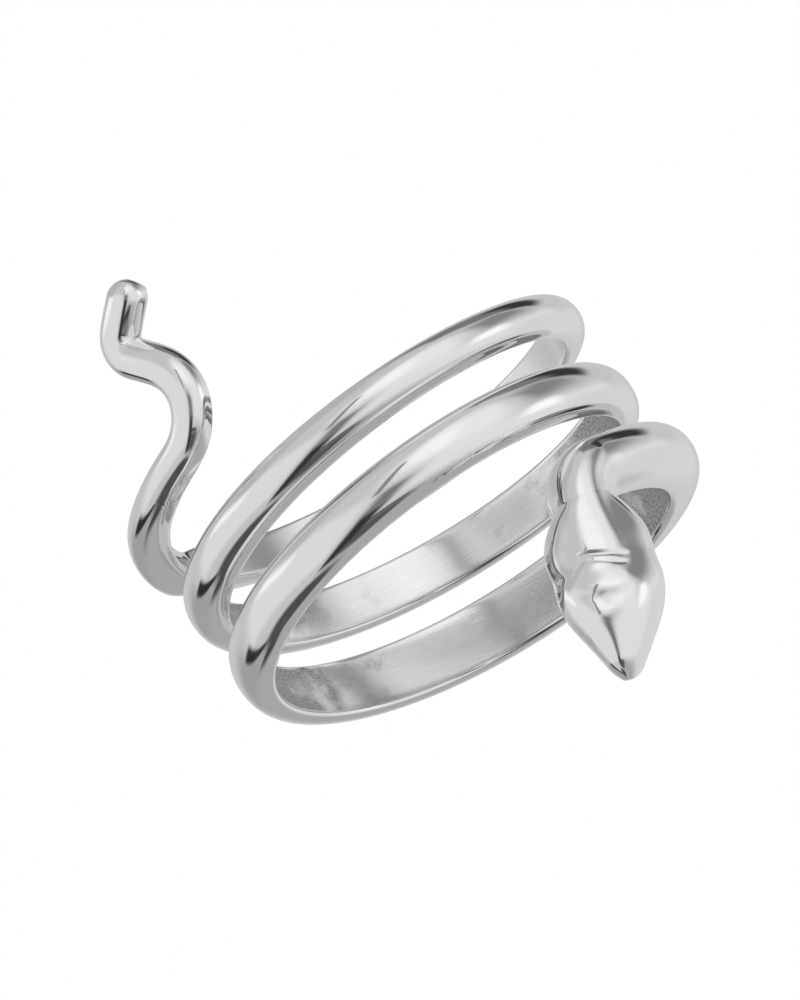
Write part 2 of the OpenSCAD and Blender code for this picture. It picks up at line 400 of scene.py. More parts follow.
@dataclass(frozen=True)
class NeckAndHead:
    """The bend that turns down out of the coil, and the flat viper head.

    Args:
        neck_turn: Angle through which the neck bends.
        neck_inner_radius: Radius of the bend's inner edge at its tightest.
        neck_wide: Width of the neck at the bend.
        neck_high: Height of the neck.
        length: Length from the bend to the snout's tip.
        wide: Width across the cheeks.
        high: Height of the crown.
        turn: Angle by which the head swings back towards the coil.
        roll: Angle by which the head leans sideways.
        snout_radius: Radius of the snout's rounded tip.
        widen_share: Share of the head over which the neck widens into it.
        lean_share: Share of the head over which it comes to lean.
        edge: Size of the rounding along its lower edges.
        form_blur: Share of a form's own length over which its ends blend out.
        rows: Width and height as shares, at equal steps from neck to snout.
        forms: Broad forms on the top, which the CAD model has too.
        creases: Fine forms on the top.
    """

    neck_turn: float = 73
    neck_inner_radius: float = 0.3
    neck_wide: float = 2.4
    neck_high: float = 2.1
    length: float = 7.3
    wide: float = 4.3
    high: float = 2.3
    turn: float = 12
    roll: float = 20
    snout_radius: float = 0.6
    widen_share: float = 0.4
    lean_share: float = 0.3
    edge: float = 0.15
    form_blur: float = 0.12
    rows: tuple[HeadRow, ...] = (
        HeadRow(0.26, 0.91),
        HeadRow(0.63, 0.92),
        HeadRow(0.89, 0.94),
        HeadRow(0.92, 0.93),
        HeadRow(0.96, 0.97),
        HeadRow(0.86, 0.96),
        HeadRow(0.63, 0.87),
        HeadRow(0.39, 0.69),
        HeadRow(0.16, 0.48),
    )
    forms: tuple[SoftForm, ...] = (
        SoftForm("neck strip", -0.20, 0.17, 0.33, -0.04, 0.26, 0.38, 6, 0.040),
        SoftForm("left valley", -0.10, 0.62, 0.22, 0.84, 0.30, 0.30, 2, -0.045),
        SoftForm("right valley", 0.05, -0.36, 0.36, -0.62, 0.14, 0.20, 2, -0.030),
        SoftForm("forehead", 0.47, 0.22, 0.52, -0.16, 0.30, 0.28, 4, 0.045),
        SoftForm("left cheek", 0.48, 0.66, 0.72, 0.38, 0.34, 0.28, 2, 0.070),
        SoftForm("right cheek", 0.60, -0.44, 0.70, -0.36, 0.32, 0.30, 2, 0.070),
        SoftForm("keel", 0.56, 0.10, 0.98, 0.02, 0.26, 0.14, 2, 0.032),
    )
    creases: tuple[SoftForm, ...] = (
        SoftForm("brow crease", 0.33, 0.28, 0.40, -0.38, 0.05, 0.05, 2, -0.036),
        SoftForm("lower crease", 0.37, 0.24, 0.455, -0.36, 0.04, 0.04, 2, -0.022),
        SoftForm("side crease", 0.37, 0.30, 0.45, 0.48, 0.04, 0.04, 2, -0.018),
        SoftForm("dip crease", 0.62, 0.12, 0.655, 0.06, 0.09, 0.09, 2, -0.015),
    )

    def rise_at(self, along: np.ndarray, across: np.ndarray, fine: bool) -> np.ndarray:
        """Rise of the soft forms.

        Args:
            along: Places along the head, as shares.
            across: Distances from its middle line.
            fine: Whether the creases count too.

        Returns:
            The rise at each place.
        """
        half = self.wide / 2
        stretch = self.length / half
        forms = self.forms + self.creases if fine else self.forms
        rises = (form.at(along, across / half, stretch, self.form_blur) for form in forms)
        return self.high * sum(rises)

    def stations(
        self, coil: Stations, bend_steps: int, head_steps: int, tip_steps: int
    ) -> Stations:
        """Stations from the snout back to the coil.

        Args:
            coil: The coil, whose first station the neck sets out from.
            bend_steps: Steps round the neck's bend.
            head_steps: Steps along the head.
            tip_steps: Steps on the snout's rounding.

        Returns:
            The stations, from the snout to just before the coil.
        """
        bend = Leg.bend(self.neck_inner_radius + self.neck_wide / 2, self.neck_turn)
        line = MiddleLine(
            (bend, Leg(self.length, -self.turn)),
            (coil.x[0], coil.y[0]),
            coil.heading[0] + 180,
        )
        whole = line.length()
        to_tip = np.arange(1, head_steps + 1) / head_steps * (self.length - self.snout_radius)
        s = np.concatenate([
            np.arange(1, bend_steps + 1) / bend_steps * bend.length,
            bend.length + to_tip,
            whole - self.snout_radius + tip_places(self.snout_radius, tip_steps),
        ])
        x, y, heading = line.at(s)
        on_head = (s - bend.length) / self.length
        row = read_rows(self.rows, np.maximum(0.0, on_head))
        into_neck = soft_step(s / bend.length)
        still_neck = 1.0 - soft_step(on_head / self.widen_share)
        more_wide = self.neck_wide - self.wide * self.rows[0].wide
        more_high = self.neck_high - self.high * self.rows[0].high
        wide = self.wide * row[:, 0] + more_wide * still_neck
        high = self.high * row[:, 1] + more_high * still_neck
        return Stations(
            x=x,
            y=y,
            heading=heading - 180,
            wide=mixed(coil.wide[0], wide, into_neck),
            high=mixed(coil.high[0], high, into_neck),
            still_open=open_at(whole - s, self.snout_radius),
            lift=0 * s,
            roll=self.roll * soft_step(s / (bend.length + self.lean_share * self.length)),
            edge=mixed(coil.edge[0], self.edge, into_neck),
            on_head=on_head,
        ).reversed()


class WaveRow(NamedTuple):
    """Row of the tail's wave: a bend's tightest radius as a share of the tail's width, its turn,
    and the straight after it as a share of the length that the bends leave."""

    radius: float
    turn: float
    straight: float


class TailRow(NamedTuple):
    """Row of the tail: height off the finger as a share of the lift, and width and height."""

    off: float
    wide: float
    high: float


@dataclass(frozen=True)
class WavyTail:
    """The thin end that leaves the coil in a wave and turns up along the finger.

    Args:
        length: Length along the middle line.
        wide: Width of the tail.
        high: Height of the tail.
        lift: Height off the finger where it leaves the coil.
        edge: Size of the rounding along its edges.
        waves: The bends from coil to tip.
        rows: Lift, width and height as shares, at equal steps from coil to tip.
    """

    length: float = 19.4
    wide: float = 1.5
    high: float = 1.35
    lift: float = 0.6
    edge: float = 0.4
    waves: tuple[WaveRow, ...] = (
        WaveRow(7.00, 12, 0.06),
        WaveRow(12.00, -9, 0.53),
        WaveRow(1.30, 125, 0.06),
        WaveRow(0.56, -92, 0.35),
    )
    rows: tuple[TailRow, ...] = (
        TailRow(1.14, 1.05, 1.01),
        TailRow(1.09, 0.97, 1.00),
        TailRow(0.43, 1.00, 0.86),
        TailRow(0.45, 1.01, 0.78),
        TailRow(0.29, 1.09, 0.89),
        TailRow(0.00, 1.08, 0.95),
    )

    def stations(self, coil: Stations, steps: int, tip_steps: int) -> Stations:
        """Stations from the coil's end to the tip.

        Args:
            coil: The coil, whose last station the tail sets out from.
            steps: Steps along the tail.
            tip_steps: Steps on the tip's rounding.

        Returns:
            The stations, from just after the coil to the tip.
        """
        bends = [Leg.bend(wave.radius * self.wide, wave.turn) for wave in self.waves]
        free = self.length - sum(bend.length for bend in bends)
        legs = [
            leg
            for bend, wave in zip(bends, self.waves)
            for leg in (bend, Leg(wave.straight * free, 0.0))
        ]
        line = MiddleLine(tuple(legs), (coil.x[-1], coil.y[-1]), coil.heading[-1])
        radius = self.wide / 2
        s = np.concatenate([
            np.arange(1, steps + 1) / steps * (self.length - radius),
            self.length - radius + tip_places(radius, tip_steps),
        ])
        x, y, heading = line.at(s)
        row = read_rows(self.rows, s / self.length)
        settled = soft_step(s / self.wide)
        return Stations(
            x=x,
            y=y,
            heading=heading,
            wide=mixed(coil.wide[-1], self.wide * row[:, 1], settled),
            high=mixed(coil.high[-1], self.high * row[:, 2], settled),
            still_open=open_at(self.length - s, radius),
            lift=self.lift * row[:, 0] * settled,
            roll=0 * s,
            edge=mixed(coil.edge[-1], self.edge, settled),
            on_head=Stations.FAR_OFF + 0 * s,
        )


@dataclass(frozen=True)
class Section:
    """Outline of the metal at a station: domed outside, and flat where it lies on the finger.

    Args:
        finger_radius: Radius of the finger hole.
        dome_power: Squareness of the dome, where 2 is an ellipse.
        under_power: Squareness of the underside.
        waist: Share of its height at which the body is widest.
        bite: Depth below the finger's surface to which the body reaches before it is cut.
        outer_points: Points over the dome.
        edge_points: Points on each rounding.
        inner_points: Points across the flat inside.
    """

    finger_radius: float = 8.5
    dome_power: float = 2.2
    under_power: float = 4.0
    waist: float = 0.22
    bite: float = 0.3
    outer_points: int = 76
    edge_points: int = 5
    inner_points: int = 10

    # Points of the fine outline that the mesh's points are picked from
    FINE = 1440
    # How many of them lie on either half of the underside where nothing is cut
    UNCUT_HALF = 60
    # Greatest share of the dome or the inside that a rounding takes up
    MOST_TRIM = 0.3

    def points(self) -> int:
        """Points round the outline."""
        return self.outer_points + self.inner_points + 2 * self.edge_points

    def outline(
        self, at: Stations, head: NeckAndHead, angle: np.ndarray, fine: bool
    ) -> tuple[np.ndarray, np.ndarray]:
        """Outline before the hole is cut.

        Args:
            at: The stations.
            head: The head, for its soft forms.
            angle: Angles round the outline.
            fine: Whether it has the head's creases too.

        Returns:
            Distances across the body and off the finger, one row for each station.
        """
        c, s = np.cos(np.radians(angle)), np.sin(np.radians(angle))
        top = s > 0
        power = 2.0 / np.where(top, self.dome_power, self.under_power)
        across = signed_power(c, power)
        off = signed_power(s, power)
        middle = at.high[:, None] * self.waist
        rise = head.rise_at(at.on_head[:, None], at.wide[:, None] / 2 * across[None, :], fine)
        reach = np.where(top[None, :], at.high[:, None] - middle + rise, middle + self.bite)
        still_open = at.still_open[:, None]
        p = at.wide[:, None] / 2 * across[None, :] * still_open
        q = mixed(at.high[:, None] / 2, middle + reach * off[None, :], still_open)
        roll = np.radians(at.roll[:, None])
        return (
            p * np.cos(roll) + q * np.sin(roll),
            q * np.cos(roll) - p * np.sin(roll) + at.lift[:, None],
        )

    def cut(self, across: np.ndarray, off: np.ndarray, edge: float) -> np.ndarray:
        """Cuts one outline by the finger's surface and spreads the mesh's points over it.

        Args:
            across: Distances across the body, round the outline.
            off: Distances off the finger.
            edge: Size of the rounding where the outside meets the inside.

        Returns:
            Points over the dome, then a rounding, the flat inside and the other rounding.
        """
        deepest = int(np.argmin(off))
        p = np.column_stack([np.roll(across, -deepest), np.roll(off, -deepest)])
        p = np.vstack([p, p[:1]])
        above = np.flatnonzero(p[:, 1] > 0)
        if len(above) == len(p):
            first, last = self.UNCUT_HALF, len(p) - 1 - self.UNCUT_HALF
            outer = p[first:last + 1]
            inner = np.vstack([p[last:], p[1:first + 1]])
        else:
            start = self.crossing(p[above[0] - 1], p[above[0]])
            stop = self.crossing(p[above[-1]], p[above[-1] + 1])
            outer = np.vstack([start, p[above[0]:above[-1] + 1], stop])
            inner = np.vstack([stop, start])
        return self.spread(outer, inner, edge)

    @staticmethod
    def crossing(a: np.ndarray, b: np.ndarray) -> np.ndarray:
        """Point between a and b on the finger's surface."""
        return a + (b - a) * (a[1] / (a[1] - b[1]))

    def spread(self, outer: np.ndarray, inner: np.ndarray, edge: float) -> np.ndarray:
        """Spreads the mesh's points along the two parts of an outline.

        Args:
            outer: Points over the dome, from one corner to the other.
            inner: Points of the inside, back to the first corner.
            edge: Size of the corners' rounding.

        Returns:
            The mesh's points, with the corners rounded.
        """
        outer_way, inner_way = path_length(outer), path_length(inner)
        trim = min(edge, self.MOST_TRIM * outer_way[-1], self.MOST_TRIM * inner_way[-1])
        dome = along_path(outer, outer_way, trim, self.outer_points)
        flat = along_path(inner, inner_way, trim, self.inner_points)
        return np.vstack([
            dome,
            self.rounding(dome[-1], outer[-1], flat[0]),
            flat,
            self.rounding(flat[-1], outer[0], dome[0]),
        ])

    def rounding(self, a: np.ndarray, corner: np.ndarray, b: np.ndarray) -> np.ndarray:
        """Points of a soft curve from a to b that bends towards a corner."""
        t = (np.arange(1, self.edge_points + 1) / (self.edge_points + 1))[:, None]
        return (1 - t) ** 2 * a + 2 * t * (1 - t) * corner + t**2 * b

    def wrapped(self, at: Stations, outlines: np.ndarray) -> np.ndarray:
        """Outlines wrapped round the finger.

        Args:
            at: The stations.
            outlines: Points across and off, for each station.

        Returns:
            Points in the ring's own frame, whose Z runs up along the finger.
        """
        heading = np.radians(at.heading)[:, None]
        across, off = outlines[..., 0], outlines[..., 1]
        angle = (at.x[:, None] - across * np.sin(heading)) / self.finger_radius
        radius = self.finger_radius + off
        up = at.y[:, None] + across * np.cos(heading)
        return np.stack([radius * np.cos(angle), radius * np.sin(angle), up], axis=-1)


def path_length(path: np.ndarray) -> np.ndarray:
    """Distance of each point of a path along it."""
    return np.concatenate([[0.0], np.cumsum(np.linalg.norm(np.diff(path, axis=0), axis=1))])


def along_path(path: np.ndarray, way: np.ndarray, trim: float, count: int) -> np.ndarray:
    """Points in even steps along a path.

    Args:
        path: The path's own points.
        way: Their distances along it.
        trim: Distance left out at each end.
        count: Number of points.

    Returns:
        The new points.
    """
    places = np.linspace(trim, way[-1] - trim, count)
    return np.column_stack([np.interp(places, way, path[:, k]) for k in range(2)])


@dataclass(frozen=True)
class RestPose:
    """The ring's place as it rests, which takes its own frame into the row's frame.

    The ring leans until it touches its surface both with the snout, in front, and with the lowest
    turn's edge, behind.

    Args:
        spin: Turn about the hole, which brings the snout to the front.
        lean: Lean about the X axis.
        foot: Middle of the underside of the ring's box.
    """

    spin: float
    lean: float
    foot: np.ndarray

    # Turn about the hole that brings the snout to the front
    SPIN = -75.3
    # Steps in which the lean is found
    TRIES = 4

    @staticmethod
    def spun(points: np.ndarray, spin: float) -> np.ndarray:
        """Points turned about the Z axis."""
        c, s = math.cos(math.radians(spin)), math.sin(math.radians(spin))
        return points @ np.array([[c, s, 0.0], [-s, c, 0.0], [0.0, 0.0, 1.0]])

    @staticmethod
    def leant(points: np.ndarray, lean: float) -> np.ndarray:
        """Points turned about the X axis."""
        c, s = math.cos(math.radians(lean)), math.sin(math.radians(lean))
        return points @ np.array([[1.0, 0.0, 0.0], [0.0, c, s], [0.0, -s, c]])

    @classmethod
    def of(cls, points: np.ndarray, finger_radius: float) -> RestPose:
        """Finds the pose of a ring.

        Args:
            points: Points of its surface, in its own frame.
            finger_radius: Radius of the finger hole.

        Returns:
            The pose.
        """
        points = points.reshape(-1, 3)
        outside = np.hypot(points[:, 0], points[:, 1]) > finger_radius
        points = cls.spun(points[outside], cls.SPIN)
        front, behind = points[points[:, 1] < 0], points[points[:, 1] > 0]
        lean = 0.0
        for _ in range(cls.TRIES):
            step = cls.lowest(behind, lean) - cls.lowest(front, lean)
            lean -= math.degrees(math.atan2(step[2], step[1]))
        resting = cls.leant(points, lean)
        low, high = resting.min(axis=0), resting.max(axis=0)
        foot = np.array([(low[0] + high[0]) / 2, (low[1] + high[1]) / 2, low[2]])
        return cls(cls.SPIN, lean, foot)

    @classmethod
    def lowest(cls, points: np.ndarray, lean: float) -> np.ndarray:
        """Lowest point once all are leant, as leant by that much."""
        points = cls.leant(points, lean)
        return points[np.argmin(points[:, 2])]

    def turned(self, directions: np.ndarray) -> np.ndarray:
        """Directions of the ring's own frame in the row's frame."""
        return self.leant(self.spun(np.atleast_2d(directions), self.spin), self.lean)

    def placed(self, points: np.ndarray) -> np.ndarray:
        """Points of the ring's own frame, in millimetres, in the row's frame, in metres."""
        return (self.turned(points) - self.foot) * MM


class NodeTable:
    """Adds nodes to a shader and joins them.

    Args:
        tree: The shader's node tree, which is emptied first.
    """

    def __init__(self, tree: bpy.types.NodeTree) -> None:
        self.tree = tree
        tree.nodes.clear()

    def add(self, kind: str, inputs: dict | None = None, **settings: object) -> bpy.types.Node:
        """Adds a node.

        Args:
            kind: Its type, such as ShaderNodeMath.
            inputs: Values or sockets for its inputs, by name or number.
            settings: Its own settings.

        Returns:
            The node.
        """
        node = self.tree.nodes.new(kind)
        for name, value in settings.items():
            setattr(node, name, value)
        for name, value in (inputs or {}).items():
            if isinstance(value, bpy.types.NodeSocket):
                self.tree.links.new(value, node.inputs[name])
            else:
                node.inputs[name].default_value = value
        return node

    def maths(self, operation: str, *values: object) -> bpy.types.NodeSocket:
        """Result of a Math node."""
        return self.add("ShaderNodeMath", dict(enumerate(values)), operation=operation).outputs[0]

    def dot(self, vector: bpy.types.NodeSocket, axis: Vector) -> bpy.types.NodeSocket:
        """Dot product of a socket with a fixed direction."""
        inputs = {0: vector, 1: tuple(axis)}
        return self.add("ShaderNodeVectorMath", inputs, operation="DOT_PRODUCT").outputs["Value"]

    def noise(
        self, vector: bpy.types.NodeSocket, scale: float, detail: float
    ) -> bpy.types.NodeSocket:
        """Strength of a noise texture."""
        inputs = {"Vector": vector, "Scale": scale, "Detail": detail}
        return self.add("ShaderNodeTexNoise", inputs).outputs["Fac"]

    def drawn_out(self, vector: bpy.types.NodeSocket, pace: float) -> bpy.types.NodeSocket:
        """Coordinates that run along the body at a share of their pace, to draw out a noise."""
        inputs = {"Vector": vector, "Scale": (pace, 1.0, 1.0)}
        return self.add("ShaderNodeMapping", inputs).outputs[0]

    def mixed(
        self, share: bpy.types.NodeSocket, first: object, second: object
    ) -> bpy.types.NodeSocket:
        """Colour at a share of the way from the first to the second."""
        node = self.add("ShaderNodeMix", {0: share, 6: first, 7: second}, data_type="RGBA")
        return node.outputs[2]

    def ramp(
        self, value: object, low: float, high: float, to_low: float, to_high: float
    ) -> bpy.types.NodeSocket:
        """Soft step from one value to another.

        Args:
            value: The number that it goes by.
            low: Number at which the step starts.
            high: Number at which it ends, which may be the lower of the two.
            to_low: Value before the step.
            to_high: Value past the step.

        Returns:
            The value.
        """
        inputs = {
            "Value": value,
            "From Min": low,
            "From Max": high,
            "To Min": to_low,
            "To Max": to_high,
        }
        node = self.add("ShaderNodeMapRange", inputs, interpolation_type="SMOOTHSTEP", clamp=True)
        return node.outputs["Result"]

    def grown(self, value: object, low: float, high: float) -> bpy.types.NodeSocket:
        """Share that grows softly from 0 to 1 as a number goes from low to high."""
        return self.ramp(value, low, high, 0.0, 1.0)


@dataclass(frozen=True)
class PolishedSilver:
    """Mirror polish of the outside, with the faint haze and hairlines of a worn polish.

    Args:
        name: Name of the material.
        colour: Colour of the metal.
        rough_low: Roughness where it shines most.
        rough_high: Roughness in the haze.
        haze: Patches of haze in one millimetre.
        haze_span: Values of the noise between which the haze comes up.
        hairlines: Hairlines in one millimetre across the body.
        line_pace: Width of a hairline as a share of its length.
        bump: Depth of the hairlines in millimetres.
    """

    name: str = "polished_silver"
    colour: tuple[float, float, float] = (0.89, 0.89, 0.90)
    rough_low: float = 0.05
    rough_high: float = 0.09
    haze: float = 0.5
    haze_span: tuple[float, float] = (0.35, 0.7)
    hairlines: float = 14.0
    line_pace: float = 0.35
    bump: float = 0.0001

    # Detail of the haze's noise and of the hairlines'
    HAZE_DETAIL = 3.0
    LINE_DETAIL = 2.0

    def material(self) -> bpy.types.Material:
        """Makes the material.

        Returns:
            The material, which is laid out by the mesh's own map.
        """
        made = bpy.data.materials.new(self.name)
        made.use_nodes = True
        table = NodeTable(made.node_tree)
        uv = table.add("ShaderNodeUVMap", uv_map="girth").outputs[0]
        haze = table.noise(uv, self.haze, self.HAZE_DETAIL)
        rough = table.ramp(haze, *self.haze_span, self.rough_low, self.rough_high)
        drawn = table.drawn_out(uv, self.line_pace)
        lines = table.noise(drawn, self.hairlines, self.LINE_DETAIL)
        relief = {"Strength": 1.0, "Distance": self.bump * MM, "Height": lines}
        bump = table.add("ShaderNodeBump", relief)
        metal = table.add("ShaderNodeBsdfPrincipled", {
            "Base Color": (*self.colour, 1.0),
            "Metallic": 1.0,
            "Roughness": rough,
            "Normal": bump.outputs[0],
        })
        table.add("ShaderNodeOutputMaterial", {"Surface": metal.outputs[0]})
        return made


@dataclass(frozen=True)
class SatinSilver:
    """Inside of the band: half polished, with fine scratches along it and rougher pitted stretches,
    set by the angle round the hole, whose grey and dark colour is painted shade.

    Args:
        name: Name of the material.
        colour: Colour of the metal.
        dull: Colour at the bottom of a scratch.
        grey: Colour of the rough stretches, darker than the polish: painted shade.
        dark: Colour of the pits there, darker still: painted shade.
        rough: Roughness of the half polish.
        rougher: Roughness of the rough stretches.
        scratches: Scratches in one millimetre across the body.
        scratch_span: Values of the noise between a scratch's bottom and its top.
        scratch_pace: Width of a scratch as a share of its length.
        bump: Depth of the scratches in millimetres.
        pits: Pits of the rough stretches in one millimetre.
        pit_span: Values of the noise between a pit's bottom and its top.
        pit_pace: Width of a pit as a share of its length.
        pit_depth: Depth of the pits in millimetres.
        patches: Patches in one millimetre, which break up the edge of a rough stretch.
        uneven: Strength of the patches.
        rough_shade_span: How near the middle of a smooth stretch, as the cosine of the turn from
            it, a place has to be to be smooth, and how near to be rough and painted darker as shade
            in part.
        turn: Length of one turn of the band.
        smooth_at: Distance along the body of the middle of a smooth stretch.
        fades_from: Distance along the body from which the rough stretches fade.
        fades_to: Distance along the body beyond which there are none, before the tail.
    """

    name: str = "satin_silver"
    colour: tuple[float, float, float] = (0.94, 0.94, 0.95)
    dull: tuple[float, float, float] = (0.87, 0.87, 0.88)
    grey: tuple[float, float, float] = (0.62, 0.62, 0.63)
    dark: tuple[float, float, float] = (0.28, 0.28, 0.29)
    rough: float = 0.18
    rougher: float = 0.36
    scratches: float = 18.0
    scratch_span: tuple[float, float] = (0.3, 0.7)
    scratch_pace: float = 1 / 24
    bump: float = 0.0018
    pits: float = 13.0
    pit_span: tuple[float, float] = (0.35, 0.65)
    pit_pace: float = 0.5
    pit_depth: float = 0.009
    patches: float = 0.7
    uneven: float = 1.2
    rough_shade_span: tuple[float, float] = (0.85, 0.40)
    turn: float = 53.4
    smooth_at: float = 30.4
    fades_from: float = 112.0
    fades_to: float = 126.0

    # Detail of the scratches' and pits' noise and of the patches', and the noise's middle value
    FINE_DETAIL = 4.0
    PATCH_DETAIL = 3.0
    NOISE_MIDDLE = 0.5

    def material(self) -> bpy.types.Material:
        """Makes the material.

        Returns:
            The material, which is laid out by the mesh's own map.
        """
        made = bpy.data.materials.new(self.name)
        made.use_nodes = True
        table = NodeTable(made.node_tree)
        uv = table.add("ShaderNodeUVMap", uv_map="girth").outputs[0]
        drawn = table.drawn_out(uv, self.scratch_pace)
        scratch = table.noise(drawn, self.scratches, self.FINE_DETAIL)
        drawn = table.drawn_out(uv, self.pit_pace)
        pit = table.noise(drawn, self.pits, self.FINE_DETAIL)
        # Rough stretches, set by the angle round the hole and the same on every turn: real
        # roughness and pits, with painted shade in their colour.
        rough_and_shaded = self.rough_and_shaded(table, uv)
        shine = table.grown(scratch, *self.scratch_span)
        polish = table.mixed(shine, (*self.dull, 1.0), (*self.colour, 1.0))
        rise = table.grown(pit, *self.pit_span)
        pitted_and_shaded = table.mixed(rise, (*self.dark, 1.0), (*self.grey, 1.0))
        scratch_depth = table.maths("MULTIPLY", scratch, self.bump * MM)
        rough_pit = table.maths("MULTIPLY", pit, rough_and_shaded)
        pit_depth = table.maths("MULTIPLY", rough_pit, self.pit_depth * MM)
        height = table.maths("ADD", scratch_depth, pit_depth)
        bump = table.add("ShaderNodeBump", {"Strength": 1.0, "Distance": 1.0, "Height": height})
        metal = table.add("ShaderNodeBsdfPrincipled", {
            # Grey and dark colour in the rough stretches: painted shade.
            "Base Color": table.mixed(rough_and_shaded, polish, pitted_and_shaded),
            "Metallic": 1.0,
            "Roughness": table.ramp(rough_and_shaded, 0.0, 1.0, self.rough, self.rougher),
            "Normal": bump.outputs[0],
        })
        table.add("ShaderNodeOutputMaterial", {"Surface": metal.outputs[0]})
        return made

    def rough_and_shaded(self, table: NodeTable, uv: bpy.types.NodeSocket) -> bpy.types.NodeSocket:
        """How rough the inside is at a place, and how far its colour is painted darker as shade.

        Args:
            table: The material's nodes.
            uv: Place along the body and round it.

        Returns:
            A share from 0, in a smooth stretch, to 1, in a rough stretch with painted shade.
        """
        along = table.add("ShaderNodeSeparateXYZ", {0: uv}).outputs[0]
        past = table.maths("SUBTRACT", along, self.smooth_at)
        near = table.maths("COSINE", table.maths("MULTIPLY", past, 2 * math.pi / self.turn))
        patch = table.noise(uv, self.patches, self.PATCH_DETAIL)
        uneven = table.maths("SUBTRACT", patch, self.NOISE_MIDDLE)
        uneven = table.maths("MULTIPLY", uneven, self.uneven)
        rough = table.grown(table.maths("ADD", near, uneven), *self.rough_shade_span)
        left = table.ramp(along, self.fades_from, self.fades_to, 1.0, 0.0)
        return table.maths("MULTIPLY", rough, left)


@dataclass(frozen=True)
class MeshSteps:
    """Steps along the parts of the ring.

    Args:
        turn: Steps in one turn of the coil.
        bend: Steps round the neck's bend.
        head: Steps along the head.
        tail: Steps along the tail.
        tip: Steps on a rounded tip.
    """

    turn: int
    bend: int
    head: int
    tail: int
    tip: int


